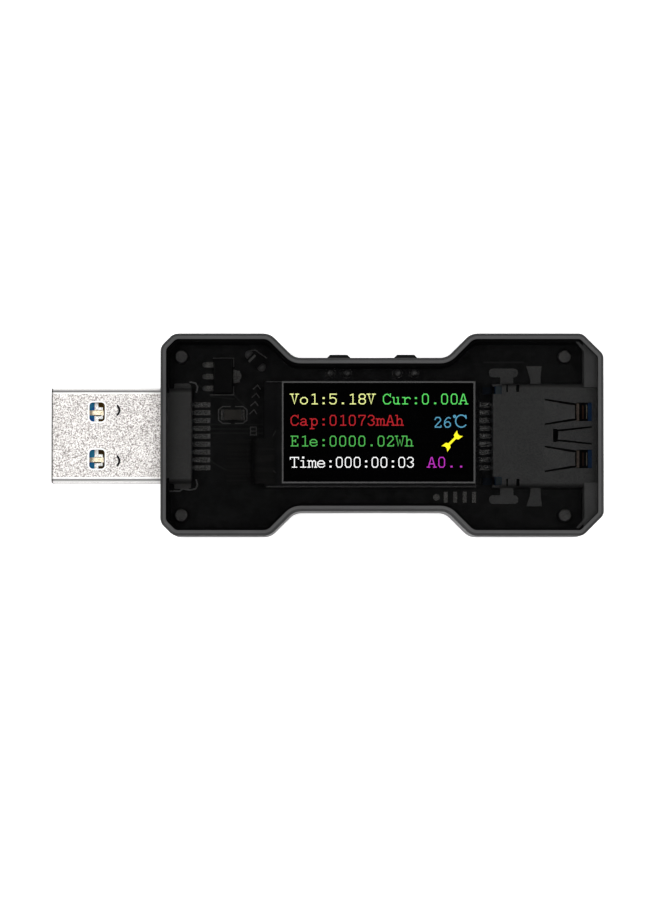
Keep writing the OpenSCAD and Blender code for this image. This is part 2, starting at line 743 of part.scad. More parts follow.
module microcontroller_body() color("#161616") below_board(mcu) package(7, 7, 0.1, 1.5);
module microcontroller_leads() color("silver") below_board(mcu)
    for (a = [0:90:270], i = [-3.5:3.5])
        rotate([0, 0, a]) translate([3.5, i * 0.8, 0]) gull_lead(0.34, 1, 0.8);

module sense_amplifier_body() color("#161616") below_board(amplifier) package(3.9, 4.9, 0.1, 1.6);
module sense_amplifier_leads() color("silver") below_board(amplifier)
    for (a = [0, 180], i = [-1.5:1.5])
        rotate([0, 0, a]) translate([1.95, i * 1.27, 0]) gull_lead(0.42, 1, 0.9);

module shunt_resistor() color("#262a26") below_board(shunt)
    translate([-2.3, -1.6, 0.05]) cube([4.6, 3.2, 0.7]);
module shunt_terminals() color("silver") below_board(shunt) for (s = [0, 1]) mirror([s, 0, 0])
    translate([2.3, -1.6, 0]) cube([0.9, 3.2, 0.75]);

module backlight_transistor() color("#161616") below_board([case_x0 + 37.6, -5.5]) {
    translate([-1.45, -0.65, 0.1]) cube([2.9, 1.3, 1]);
    for (p = [[-0.95, -1.15], [0.95, -1.15], [0, 1.15]])
        translate([p[0] - 0.2, p[1] - 0.5, 0]) cube([0.4, 1, 0.14]);
}

capacitor_places = [
    [case_x0 + 21.2, -7.5], [case_x0 + 23.6, -7.5], [case_x0 + 32.5, -7.5], [case_x0 + 14.9, 4.2]
];
resistor_places = [
    [case_x0 + 15, 1.8], [case_x0 + 15, -0.2], [case_x0 + 15, -2.2], [case_x0 + 37.5, 1.5],
    [case_x0 + 37.5, 3.6], [case_x0 + 17.2, -5.8]
];

module chip_capacitors() color("#8a7350") for (p = capacitor_places) below_board(p) chip(1.6, 0.8, 0.8, 0.35);
module chip_resistors() color("#202020") for (p = resistor_places) below_board(p) chip(1.6, 0.8, 0.45, 0.3);

// ---------------------------------------------------------------- solder

// Sloped fillet at the end of a contact foot; side is the way the foot points along X.
module foot_fillet(x, y, side) {
    slice_y(y, 0.56) translate([x, contact_z]) polygon([[0, 0], [side * 0.34, 0], [0, contact_t]]);
}

module solder_joints() color("silver") {
    for (i = [-4:4]) {
        foot_fillet(plug_x1 + 2, i * pin_pitch, 1);
        foot_fillet(socket_x0 - 1.6, i * pin_pitch, -1);
    }
    on_board() switch_pin_places() translate([0, 0, contact_z]) difference() {
        cylinder(h = 0.35, d1 = 1.25, d2 = 0.62);
        translate([0, 0, -1]) cylinder(h = 2, d = 0.48);
    }
}

// ---------------------------------------------------------------- nodes

bottom_shell();
top_shell();
smoked_window();
window_tape();
corner_pins();
end_supports();
circuit_board();
board_pads();
plug_shell();
plug_insulator();
plug_power_contacts();
plug_data_contacts();
socket_shell();
socket_insulator();
socket_power_contacts();
socket_data_contacts();
display_pad();
display_backlight();
display_light_guide();
display_glass();
display_polariser();
display_flex();
button_left();
button_right();
switch_dome_left();
switch_dome_right();
switch_body_left();
switch_body_right();
switch_bracket_left();
switch_bracket_right();
switch_pins();
regulator_body();
regulator_leads();
filter_capacitor();
clamp_diode();
microcontroller_body();
microcontroller_leads();
sense_amplifier_body();
sense_amplifier_leads();
shunt_resistor();
shunt_terminals();
backlight_transistor();
chip_capacitors();
chip_resistors();
solder_joints();
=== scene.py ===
"""Looks of the USB power meter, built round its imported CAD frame."""

import json
import math

import bmesh
import bpy
from mathutils import Matrix, Vector


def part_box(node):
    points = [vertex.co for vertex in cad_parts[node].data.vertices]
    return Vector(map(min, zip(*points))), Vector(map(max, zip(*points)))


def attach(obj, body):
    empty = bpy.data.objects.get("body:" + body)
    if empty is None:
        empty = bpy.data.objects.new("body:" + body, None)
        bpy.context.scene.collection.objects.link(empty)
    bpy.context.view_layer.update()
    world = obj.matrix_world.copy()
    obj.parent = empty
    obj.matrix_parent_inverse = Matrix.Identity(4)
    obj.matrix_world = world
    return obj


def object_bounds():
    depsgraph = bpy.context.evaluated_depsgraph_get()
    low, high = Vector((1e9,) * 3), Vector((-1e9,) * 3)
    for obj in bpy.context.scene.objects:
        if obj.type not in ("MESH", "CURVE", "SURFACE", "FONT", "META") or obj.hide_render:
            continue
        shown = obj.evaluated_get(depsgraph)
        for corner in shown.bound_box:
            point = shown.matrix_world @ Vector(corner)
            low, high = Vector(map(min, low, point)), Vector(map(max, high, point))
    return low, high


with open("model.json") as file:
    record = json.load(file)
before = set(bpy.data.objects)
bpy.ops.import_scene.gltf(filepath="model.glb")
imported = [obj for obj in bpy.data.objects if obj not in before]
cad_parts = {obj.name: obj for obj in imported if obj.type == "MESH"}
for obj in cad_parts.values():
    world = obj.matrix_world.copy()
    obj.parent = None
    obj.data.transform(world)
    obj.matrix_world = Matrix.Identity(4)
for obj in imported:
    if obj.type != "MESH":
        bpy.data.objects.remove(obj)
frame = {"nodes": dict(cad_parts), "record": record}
cad_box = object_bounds()
nodes = frame["nodes"]

MM = 0.001
BODY = "meter"
scene = bpy.context.scene
scene.view_settings.view_transform = "Standard"


# ---------------------------------------------------------------- materials


class Graph:
    """A material with one Principled shader and short calls for its nodes."""

    def __init__(self, name, colour, roughness, metallic=0.0, **sockets):
        self.material = bpy.data.materials.new(name)
        self.material.use_nodes = True
        self.tree = self.material.node_tree
        self.shader = self.tree.nodes["Principled BSDF"]
        self.place = self.tree.nodes.new("ShaderNodeTexCoord").outputs["Object"]
        self.shader.inputs["Base Color"].default_value = (*colour, 1.0)
        self.shader.inputs["Roughness"].default_value = roughness
        self.shader.inputs["Metallic"].default_value = metallic
        for socket, value in sockets.items():
            self.shader.inputs[socket.replace("_", " ")].default_value = value

    def link(self, source, target):
        self.tree.links.new(source, target)

    def noise(self, size, detail=3.0, stretch=(1, 1, 1)):
        """Noise with features about size metres across; stretch divides each axis."""
        scaled = self.tree.nodes.new("ShaderNodeMapping")
        scaled.inputs["Scale"].default_value = tuple(1 / (size * s) for s in stretch)
        self.link(self.place, scaled.inputs["Vector"])
        node = self.tree.nodes.new("ShaderNodeTexNoise")
        node.inputs["Scale"].default_value = 1.0
        node.inputs["Detail"].default_value = detail
        self.link(scaled.outputs["Vector"], node.inputs["Vector"])
        return node.outputs["Fac"]

    def ramp(self, factor, *stops):
        """Colours or greys at rising positions of factor."""
        node = self.tree.nodes.new("ShaderNodeValToRGB")
        elements = node.color_ramp.elements
        while len(elements) < len(stops):
            elements.new(0.5)
        for element, (position, value) in zip(elements, stops):
            element.position = position
            element.color = (*value, 1.0) if isinstance(value, tuple) else (value,) * 3 + (1.0,)
        self.link(factor, node.inputs["Fac"])
        return node.outputs["Color"]

    def along(self, axis, *stops):
        """Colours or greys at rising places, in metres, along one axis of the object."""
        split = self.tree.nodes.new("ShaderNodeSeparateXYZ")
        self.link(self.place, split.inputs["Vector"])
        span = self.tree.nodes.new("ShaderNodeMapRange")
        low, high = stops[0][0], stops[-1][0]
        span.inputs["From Min"].default_value = low
        span.inputs["From Max"].default_value = high
        self.link(split.outputs[axis], span.inputs["Value"])
        shares = [((at - low) / (high - low), tone) for at, tone in stops]
        return self.ramp(span.outputs["Result"], *shares)

    def blend(self, factor, a, colour):
        """a where factor is 0 and a plain colour where it is 1."""
        node = self.tree.nodes.new("ShaderNodeMix")
        node.data_type = "RGBA"
        node.inputs["B"].default_value = (*colour, 1.0)
        self.link(factor, node.inputs["Factor"])
        self.link(a, node.inputs["A"])
        return node.outputs["Result"]

    def multiply(self, a, b):
        node = self.tree.nodes.new("ShaderNodeMix")
        node.data_type = "RGBA"
        node.blend_type = "MULTIPLY"
        node.inputs["Factor"].default_value = 1.0
        self.link(a, node.inputs["A"])
        self.link(b, node.inputs["B"])
        return node.outputs["Result"]

    def colour(self, source):
        self.link(source, self.shader.inputs["Base Color"])

    def metal(self, axis, *stops):
        """How metallic it is, at rising places along one axis."""
        self.link(self.along(axis, *stops), self.shader.inputs["Metallic"])

    def roughness(self, factor, low, high):
        self.link(self.ramp(factor, (0.3, low), (0.7, high)), self.shader.inputs["Roughness"])

    def bump(self, height, depth):
        node = self.tree.nodes.new("ShaderNodeBump")
        node.inputs["Distance"].default_value = depth
        node.inputs["Strength"].default_value = 1.0
        self.link(height, node.inputs["Height"])
        self.link(node.outputs["Normal"], self.shader.inputs["Normal"])


def tinted(colour, factor):
    return tuple(min(1.0, c * factor) for c in colour)


def moulded(name, colour, roughness, grain=0.12 * MM, depth=0.006 * MM, spread=0.12, **sockets):
    """Moulded plastic: faint blotches, a fine spark-eroded grain and uneven gloss."""
    g = Graph(name, colour, roughness, **sockets)
    blotch = g.noise(3 * MM)
    fine = g.noise(grain, detail=2)
    tone = g.ramp(blotch, (0.3, tinted(colour, 1 - spread)), (0.7, tinted(colour, 1 + spread)))
    speck = g.ramp(fine, (0.35, 0.86), (0.65, 1.0))
    g.colour(g.multiply(tone, speck))
    g.roughness(blotch, roughness - 0.06, roughness + 0.06)
    g.bump(fine, depth)
    return g.material


def plated_graph(name, bright, dull, roughness, grain=0.16 * MM, depth=0.004 * MM, cover=(0.38, 0.56)):
    """Plated sheet metal: dull specks between bright ones, and a faint orange-peel bump."""
    g = Graph(name, bright, roughness, metallic=1.0)
    fine = g.noise(grain, detail=4)
    cloud = g.noise(2.5 * MM)
    specks = g.ramp(fine, (cover[0], dull), (cover[1], bright))
    g.roughness(fine, roughness + 0.08, roughness - 0.05)
    g.bump(fine, depth)
    return g, g.multiply(specks, g.ramp(cloud, (0.3, 0.9), (0.7, 1.0)))


def plated(name, bright, dull, roughness, **grain_and_cover):
    """The same as a finished material."""
    g, finish = plated_graph(name, bright, dull, roughness, **grain_and_cover)
    g.colour(finish)
    return g.material


def plug_material():
    """Worn bright plating, smoother inside the case, with painted shade on the tip's cut edge, along the
    folds and on the side walls, and a painted highlight beside each fold.
    """
    bright, dull = (0.82, 0.795, 0.775), (0.22, 0.195, 0.185)
    # A painted highlight colour for beside the folds, and the plainer colour used inside the case.
    painted_highlight_colour, under_window = (0.93, 0.92, 0.91), (0.56, 0.555, 0.55)
    g, finish = plated_graph(
        "plug_metal", bright, dull, 0.42, grain=0.15 * MM, depth=0.003 * MM, cover=(0.37, 0.57))
    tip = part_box("plug_shell")[0].x
    tongue_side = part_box("plug_insulator")[1].y
    fold, wall, outside = tongue_side - 0.1 * MM, tongue_side + 0.3 * MM, 8 * MM
    line, shine = 0.06 * MM, 0.28 * MM
    inside, case_face = tip + 14.5 * MM, tip + 14 * MM

    def mirrored(*half):
        """A ramp across the plug, from its half on one side of the middle."""
        return g.along("Y", *[(-at, tone) for at, tone in reversed(half)], *half[1:])

    # Painted shade: the tip's cut edge is darkened almost to black.
    edge = g.along("X", (tip, 0.08), (tip + 0.12 * MM, 0.1), (tip + 0.2 * MM, 1.0), (0.0, 1.0))
    # Painted shade: a dark line along each fold, and the side walls darkened to 0.6.
    painted_fold_shade = mirrored(
        (0.0, 1.0), (fold - 2 * line, 1.0), (fold - line, 0.35), (fold + line, 0.35),
        (fold + 2 * line, 1.0), (wall - line, 1.0), (wall, 0.6), (outside, 0.6))
    # Painted highlight: a bright band beside each fold, mixed towards the highlight colour.
    painted_fold_highlight = mirrored(
        (0.0, 0.0), (fold - shine - line, 0.0), (fold - shine, 0.9), (wall - line, 0.9), (wall, 0.0),
        (outside, 0.0))
    inner = g.along("X", (tip, 0.0), (case_face, 0.0), (inside, 0.85), (0.0, 0.85))
    painted_light = g.blend(painted_fold_highlight, finish, painted_highlight_colour)
    g.colour(g.blend(inner, g.multiply(g.multiply(painted_light, edge), painted_fold_shade), under_window))
    g.metal("X", (tip, 1.0), (case_face, 1.0), (inside, 0.5), (0.0, 0.5))
    return g.material


def socket_material():
    """Nickel-plated sheet, duller under the window than at the socket's mouth."""
    bright, dull = (0.6, 0.6, 0.595), (0.44, 0.44, 0.44)
    g, finish = plated_graph("socket_metal", bright, dull, 0.42)
    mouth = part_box("end_supports")[1].x
    step = 0.1 * MM
    g.metal("X", (0.0, 0.5), (mouth - step, 0.5), (mouth, 1.0), (mouth + MM, 1.0))
    g.colour(finish)
    return g.material


def contact_material():
    """Contacts gilded where they mate and tinned at their soldered feet."""
    gold, tin = (1.0, 0.78, 0.4), (0.85, 0.85, 0.83)
    g = Graph("gold_contact", gold, 0.25, metallic=1.0)
    plug_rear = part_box("plug_insulator")[1].x - 0.1 * MM
    socket_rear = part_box("socket_insulator")[0].x + 0.1 * MM
    step = 0.05 * MM
    plating = g.along(
        "X", (-35 * MM, gold), (plug_rear, gold), (plug_rear + step, tin), (socket_rear, tin),
        (socket_rear + step, gold), (35 * MM, gold))
    fine = g.noise(0.2 * MM)
    g.colour(g.multiply(plating, g.ramp(fine, (0.35, 0.55), (0.65, 1.0))))
    g.roughness(fine, 0.32, 0.2)
    return g.material


def glow(name, colour, strength):
    """A lit part of the screen."""
    g = Graph(name, (0, 0, 0), 0.6)
    g.shader.inputs["Emission Color"].default_value = (*colour, 1.0)
    g.shader.inputs["Emission Strength"].default_value = strength
    return g.material


def case_material():
    """Spark-eroded black plastic, with painted shade: full tone only on the flat top of the rim round the
    window, darker on its chamfers, walls and everything below.
    """
    colour = (0.092, 0.092, 0.093)
    rim = cad_box[1].z
    g = Graph("case_plastic", colour, 0.46, Specular_IOR_Level=0.12)
    blotch = g.noise(4 * MM)
    fine = g.noise(0.11 * MM, detail=3)
    tone = g.ramp(blotch, (0.3, tinted(colour, 0.9)), (0.7, tinted(colour, 1.08)))
    speck = g.ramp(fine, (0.3, 0.8), (0.65, 1.0))
    # Painted shade: everything below the flat top of the rim, chamfers and walls included, is darkened to
    # 0.44 of its tone.
    painted_light = g.along("Z", (0.0, 0.44), (rim - 0.06 * MM, 0.44), (rim - 0.02 * MM, 1.0), (rim + MM, 1.0))
    g.colour(g.multiply(g.multiply(tone, speck), painted_light))
    g.roughness(blotch, 0.4, 0.52)
    g.bump(fine, 0.008 * MM)
    return g.material


def window_material():
    """Smoked acrylic: dark, glossy, with fine wipe marks in its gloss."""
    g = Graph("smoked_acrylic", (0.0006, 0.0006, 0.0007), 0.06, Alpha=0.55, Specular_IOR_Level=0.25)
    wipe = g.noise(0.5 * MM, detail=5, stretch=(12, 1, 1))
    g.roughness(wipe, 0.03, 0.09)
    return g.material


def board_material():
    """Black solder mask: woven glass shows through it as a faint weave."""
    g = Graph("board_mask", (0.04, 0.043, 0.044), 0.4, Coat_Weight=0.25, Coat_Roughness=0.25)
    weave = g.noise(0.35 * MM, detail=1, stretch=(3, 1, 1))
    cloud = g.noise(1.6 * MM, detail=5)
    tone = g.ramp(cloud, (0.38, (0.027, 0.029, 0.03)), (0.62, (0.068, 0.07, 0.072)))
    g.colour(g.multiply(tone, g.ramp(weave, (0.4, 0.8), (0.6, 1.0))))
    g.bump(weave, 0.01 * MM)
    return g.material


def flex_material():
    g = Graph("flex_film", (0.06, 0.06, 0.059), 0.5)
    tracks = g.noise(0.3 * MM, detail=0, stretch=(60, 1, 1))
    g.colour(g.ramp(tracks, (0.45, (0.05, 0.05, 0.05)), (0.55, (0.08, 0.078, 0.075))))
    g.bump(tracks, 0.01 * MM)
    return g.material


def frame_material():
    """White moulding round the display, blackened on the side of the flex."""
    g = Graph("white_plastic", (0.78, 0.78, 0.76), 0.5)
    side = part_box("display_backlight")[0].x + 0.35 * MM
    g.colour(g.along("X", (-20 * MM, 0.01), (side, 0.01), (side + 0.1 * MM, 0.78), (20 * MM, 0.78)))
    return g.material


MATERIALS = {
    "case_plastic": case_material(),
    "smoked_acrylic": window_material(),
    "board_mask": board_material(),
    "flex_film": flex_material(),
    "black_tape": moulded("black_tape", (0.004, 0.004, 0.004), 0.8),
    "pin_steel": plated("pin_steel", (0.65, 0.64, 0.63), (0.42, 0.41, 0.4), 0.42),
    "grey_plastic": moulded("grey_plastic", (0.9, 0.9, 0.9), 0.6),
    "tinned_copper": plated(
        "tinned_copper", (0.85, 0.84, 0.8), (0.45, 0.44, 0.42), 0.32, cover=(0.4, 0.6)),
    "solder": plated("solder", (0.9, 0.9, 0.89), (0.6, 0.6, 0.6), 0.45, grain=0.3 * MM),
    "plug_metal": plug_material(),
    "socket_metal": socket_material(),
    "blue_plastic": moulded("blue_plastic", (0.03, 0.17, 0.5), 0.35),
    "gold_contact": contact_material(),
    "foam": moulded("foam", (0.02, 0.02, 0.02), 0.95, grain=0.25 * MM, depth=0.05 * MM),
    "white_plastic": frame_material(),
    "clear_acrylic": moulded("clear_acrylic", (0.7, 0.72, 0.74), 0.2),
    "display_glass": moulded("display_glass", (0.11, 0.11, 0.115), 0.12, depth=0.0005 * MM),
    "screen_black": moulded("screen_black", (0.0004, 0.0004, 0.0005), 0.3, depth=0.0005 * MM,
                            Specular_IOR_Level=0.03),
    "button_black": moulded("button_black", (0.004, 0.004, 0.004), 0.55, Specular_IOR_Level=0.1),
    "spring_steel": plated("spring_steel", (0.7, 0.7, 0.7), (0.5, 0.5, 0.5), 0.3),
    "switch_plastic": moulded("switch_plastic", (0.018, 0.018, 0.018), 0.55),
    "package_plastic": moulded("package_plastic", (0.03, 0.03, 0.032), 0.55, depth=0.01 * MM),
    "capacitor_ceramic": moulded("capacitor_ceramic", (0.42, 0.39, 0.35), 0.5, spread=0.2),
    "resistor_ceramic": moulded("resistor_ceramic", (0.03, 0.03, 0.035), 0.4),
}
for row in frame["record"]["subparts"]:
    mesh = nodes[row["node"]].data
    mesh.materials.clear()
    mesh.materials.append(MATERIALS[row["material_slot"]])


# ---------------------------------------------------------------- mesh helpers


def piece(name, bm, material, body=BODY):
    """Shows a bmesh as a piece that rides on a body, finished with the given material."""
    mesh = bpy.data.meshes.new(name)
    bm.to_mesh(mesh)
    bm.free()
    thing = bpy.data.objects.new(name, mesh)
    scene.collection.objects.link(thing)
    mesh.materials.append(material)
    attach(thing, body)
    return thing


def side_normal(a, b):
    along = (b - a).normalized()
    return Vector((-along.y, along.x))


def offset_line(points, distance, closed):
    """The points of a flat line moved sideways, mitred at its corners."""
    moved = []
    count = len(points)
    for i, point in enumerate(points):
        before = points[i - 1] if closed or i > 0 else None
        after = points[(i + 1) % count] if closed or i < count - 1 else None
        normals = []
        if before is not None:
            normals.append(side_normal(before, point))
        if after is not None:
            normals.append(side_normal(point, after))
        total = sum(normals, Vector((0, 0)))
        if total.length < 0.2:
            total = normals[0]
        mitre = total.normalized()
        reach = min(1 / max(mitre.dot(normals[0]), 0.1), 1.6)
        moved.append(point + mitre * distance * reach)
    return moved


def deepen(bm, faces, thickness):
    """Gives flat faces walls down from their level."""
    grown = bmesh.ops.extrude_face_region(bm, geom=faces)
    for item in grown["geom"]:
        if isinstance(item, bmesh.types.BMVert):
            item.co.z -= thickness


def add_ribbon(bm, points, width, z, thickness=0.0, closed=False):
    """Adds a flat line with square ends to bm; thickness gives it walls down from z."""
    line = [Vector(p) for p in points]
    if not closed:
        line[0] = line[0] - (line[1] - line[0]).normalized() * width / 2
        line[-1] = line[-1] + (line[-1] - line[-2]).normalized() * width / 2
    left = offset_line(line, width / 2, closed)
    right = offset_line(line, -width / 2, closed)
    top = [(bm.verts.new((*a, z)), bm.verts.new((*b, z))) for a, b in zip(left, right)]
    spans = list(zip(top, top[1:]))
    if closed:
        spans.append((top[-1], top[0]))
    faces = [bm.faces.new((a[0], a[1], b[1], b[0])) for a, b in spans]
    if thickness:
        deepen(bm, faces, thickness)


def ribbons(name, lines, width, z, material, thickness=0.0):
    """One piece made of flat lines, each a (points, closed) pair in metres."""
    bm = bmesh.new()
    for points, closed in lines:
        add_ribbon(bm, points, width, z, thickness, closed)
    bmesh.ops.recalc_face_normals(bm, faces=bm.faces)
    return piece(name, bm, material)


def open_lines(lines):
    """Open lines in mm, in the form that ribbons() takes."""
    return [([(x * MM, y * MM) for x, y in line], False) for line in lines]


def rectangle(x0, y0, x1, y1):
    """The corners of a rectangle, in order."""
    return [(x0, y0), (x1, y0), (x1, y1), (x0, y1)]


# ---------------------------------------------------------------- the screen's readout

# Strokes of each character on a grid about eight units wide and ten high.
ZERO = "3.2,.6 5.9,.6 7.1,2.2 7.1,7.8 5.9,9.5 3.2,9.5 2,7.8 2,2.2 3.2,.6"
ONE = ["3,8.6 5.2,9.5 5.2,.6", "2.8,.6 7.4,.6"]
STROKES = {
    "0": [ZERO],
    "1": ONE,
    "2": ["1.8,7.6 3,9.5 5.6,9.5 6.8,8 6.8,6.6 2,1.4 2,.6 7,.6 7.3,1.8"],
    "3": ["1.8,8 3,9.5 5.4,9.5 6.8,8.2 6.8,6.4 4.6,5.2 6.9,3.8 6.9,2 5.4,.6 3,.6 1.7,2"],
    "5": ["7.4,9.5 1.9,9.5 1.9,5.6 4.2,6.4 6,6 7.3,4.6 7.3,2.2 5.8,.6 3,.6 1.6,1.8"],
    "6": ["6.8,8.8 5.4,9.5 3.8,8.8 2,6.2 1.6,3 3,.6 5.4,.6 7,2 7,3.8 5.6,5.4 3.6,5.4 2,4"],
    "7": ["2,8 2,9.5 7.5,9.5 7.5,8.4 4.9,4.4 4.2,.6"],
    "8": ["3.6,5.2 2.2,6.6 2.2,8.2 3.6,9.5 6.2,9.5 7.5,8.2 7.5,6.6 6.2,5.2 3.6,5.2",
          "3.6,5.2 2,3.8 2,2 3.6,.6 6.2,.6 7.7,2 7.7,3.8 6.2,5.2"],
    ".": ["4.6,1.1 4.9,1.1"],
    ":": ["4.5,1.1 4.8,1.1", "4.5,5.9 4.8,5.9"],
    "V": [".6,9.5 3.2,9.5", "5.4,9.5 8,9.5", "1.9,9.5 4.3,.6 6.7,9.5"],
    "o": ["3.2,.6 5.4,.6 7.2,2.2 7.2,4.8 5.4,6.4 3.2,6.4 1.2,4.8 1.2,2.2 3.2,.6"],
    "l": ["3,8.8 5.4,9.5 5.4,.6", "3,.6 7.7,.6"],
    "C": ["7.6,9.7 7.6,7.2 6,9 4.6,9.5 3,9 1.3,7 1.3,3 3,.6 6,.6 7.8,2.4"],
    "u": [".9,6.4 2.1,6.4 2.1,1.8 3.2,.6 4.8,.6 5.9,1.8", "4.8,6.4 5.9,6.4 5.9,.6 7.2,.6"],
    "r": ["1.4,6.4 3.4,6.4 3.4,.6", "1.4,.6 5.8,.6", "3.4,4.6 5.2,6.3 7,6.4 8.1,5.4"],
    "A": ["1.2,.6 3.8,9.4 4.6,9.4 7.2,.6", "2.2,3.6 6.2,3.6", ".2,.6 2.4,.6", "5.8,.6 8.2,.6"],
    "a": ["1.6,5.4 3,6.4 4.9,6.4 6,5.2 6,.9 7.3,.6",
          "6,3.7 3,3.6 1.3,2.4 1.3,1.4 2.6,.6 4.6,.6 6,2"],
    "p": ["1.2,6.4 2.7,6.4 2.7,-2.6", "1.2,-2.6 4.6,-2.6",
          "2.7,4.8 4.2,6.4 6,6.4 7.4,4.8 7.4,2.2 6,.6 4.2,.6 2.7,2.2"],
    "m": [".2,6.4 1.4,6.4 1.4,.6", "1.4,5.2 2.5,6.4 3.5,6.4 4.4,5.4 4.4,.6",
          "4.4,5.2 5.4,6.4 6.4,6.4 7.3,5.4 7.3,.6", ".3,.6 2.4,.6", "6.4,.6 8.3,.6"],
    "h": [".5,9.5 1.9,9.5 1.9,.6", ".5,.6 3.3,.6", "1.9,4.8 3.4,6.4 5,6.4 6.1,5 6.1,.6", "4.8,.6 7.4,.6"],
    "E": ["1.3,9.5 7.3,9.5 7.3,8", "2.5,9.5 2.5,.6", "2.5,5.2 5.3,5.2", "5.3,6.2 5.3,4.2",
          "1.3,.6 7.3,.6 7.3,2.1"],
    "e": ["1.3,3.6 7.2,3.6 7.2,4.8 5.6,6.4 3,6.4 1.2,4.8 1.2,2.2 3,.6 5.8,.6 7.4,1.8"],
    "W": [".2,9.5 2.2,9.5", "6.2,9.5 8.4,9.5", "1.2,9.5 2.6,.6 4.2,6.4 5.8,.6 7.4,9.5"],
    "T": [".6,8 .6,9.5 8,9.5 8,8", "4.3,9.5 4.3,.6", "2.4,.6 6.4,.6"],
    "i": ["4,9.4 4.3,9.4", "2.2,6.4 4.3,6.4 4.3,.6", "1.9,.6 6.6,.6"],
}
UNIT_X = 0.14 * MM
UNIT_Y = 0.138 * MM
PEN = 0.13 * MM
THIN_PEN = 0.115 * MM
DOT = 0.22 * MM

screen_low, screen_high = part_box("display_polariser")
READOUT_Z = screen_high.z + 0.012 * MM


def stroke_points(text, x, y):
    """A stroke's points in metres, from its grid places and the character's lower left corner."""
    pairs = [tuple(float(v) for v in pair.split(",")) for pair in text.split()]
    return [(x + u * UNIT_X, y + v * UNIT_Y) for u, v in pairs]


def readout(name, text, right, down, advance, material, pen=PEN):
    """Characters on the screen, from a corner right and down of the screen's top left, in mm."""
    bm = bmesh.new()
    y = screen_high.y - down * MM
    for i, character in enumerate(text):
        x = screen_low.x + (right + i * advance) * MM
        for stroke in STROKES[character]:
            points = stroke_points(stroke, x, y)
            short = len(points) == 2 and abs(points[1][0] - points[0][0]) < 0.5 * UNIT_X
            add_ribbon(bm, points, DOT if short and character in ".:i" else pen, READOUT_Z)
    return piece(name, bm, material)


def filled(name, outline, material, z=READOUT_Z):
    """A flat piece with the given outline."""
    bm = bmesh.new()
    bm.faces.new([bm.verts.new((*p, z)) for p in outline])
    bmesh.ops.triangulate(bm, faces=bm.faces)
    return piece(name, bm, material)


# Row height, first row and advances in mm, and how brightly the screen is lit.
ROW = 2.661
FIRST = 2.85
WIDE = 1.21
TIGHT = 1.125
LIT = 5.6
YELLOW = glow("lit_yellow", (0.82, 0.87, 0.32), LIT)
GREEN = glow("lit_green", (0.1, 0.66, 0.12), LIT)
DEEP_GREEN = glow("lit_deep_green", (0.075, 0.42, 0.08), LIT)
RED = glow("lit_red", (0.43, 0.016, 0.022), LIT)
SKY = glow("lit_sky", (0.09, 0.31, 0.46), LIT)
WHITE = glow("lit_white", (1.0, 1.0, 1.0), LIT)
MAGENTA = glow("lit_magenta", (0.46, 0.03, 0.46), LIT)

readout("readout_volts", "Vol:5.18V", 0.84, FIRST - 0.05, WIDE, YELLOW)
readout("readout_amps", "Cur:0.00A", 12.49, FIRST - 0.05, WIDE, GREEN)
readout("readout_capacity", "Cap:01073mAh", 0.84, FIRST + ROW - 0.02, WIDE, RED)
readout("readout_degrees", "26", 18.93, FIRST + ROW + 0.23, WIDE, SKY)
readout("readout_energy", "Ele:0000.02Wh", 0.84, FIRST + 2 * ROW - 0.06, WIDE, DEEP_GREEN)
readout("readout_time", "Time:000:00:03", 0.84, FIRST + 3 * ROW - 0.04, TIGHT, WHITE, THIN_PEN)
readout("readout_mode", "A0..", 18.17, FIRST + 3 * ROW - 0.04, WIDE, MAGENTA)


def arc(cx, cy, rx, ry, start, end, steps):
    """Points along part of an ellipse, from one angle to another in degrees."""
    angles = [math.radians(start + (end - start) * i / steps) for i in range(steps + 1)]
    return [(cx + rx * math.cos(a), cy + ry * math.sin(a)) for a in angles]


def degree_sign():
    """A ring and a tall C: degrees Celsius."""
    x = screen_low.x + 22.5 * MM
    y = screen_high.y - 4.9 * MM
    ring = (arc(x - 0.85 * MM, y + 0.6 * MM, 0.12 * MM, 0.12 * MM, 0, 330, 11), True)
    tall = (arc(x, y, 0.72 * MM, 0.77 * MM, 40, 320, 14), False)
    tick = ([(x + 0.56 * MM, y + 0.7 * MM), (x + 0.6 * MM, y + 0.38 * MM)], False)
    return ribbons("readout_celsius", [ring, tall, tick], 0.15 * MM, READOUT_Z, SKY)


def wrench_sign():
    """A small double-ended wrench, turned by 45 degrees."""
    half = [(0.0, 0.15), (0.55, 0.15), (0.68, 0.4), (0.95, 0.45), (1.4, 0.52), (1.14, 0.16)]
    end = half + [(u, -v) for u, v in reversed(half)]
    loop = end + [(-u, -v) for u, v in end]
    turn = Matrix.Rotation(math.radians(45), 2)
    centre = Vector((screen_low.x + 21.35 * MM, screen_high.y - 7.42 * MM))
    outline = []
    for point in loop:
        place = centre + turn @ Vector(point) * MM
        if not outline or (place - outline[-1]).length > 0.01 * MM:
            outline.append(place)
    return filled("readout_wrench", outline, glow("lit_wrench", (1.0, 0.93, 0.02), LIT))


degree_sign()
wrench_sign()

# A thin bright frame round the screen: the edge of the display's polarising film, drawn near white with a
# faint glow as a painted highlight.
ribbons(
    "display_edge_highlight",
    [(rectangle(screen_low.x - 0.04 * MM, screen_low.y - 0.04 * MM,
                screen_high.x + 0.04 * MM, screen_high.y + 0.04 * MM), True)],
    0.19 * MM,
    screen_high.z + 0.005 * MM,
    moulded("display_edge_highlight", (0.9, 0.9, 0.9), 0.4, Emission_Strength=0.2),
    thickness=0.15 * MM,
)


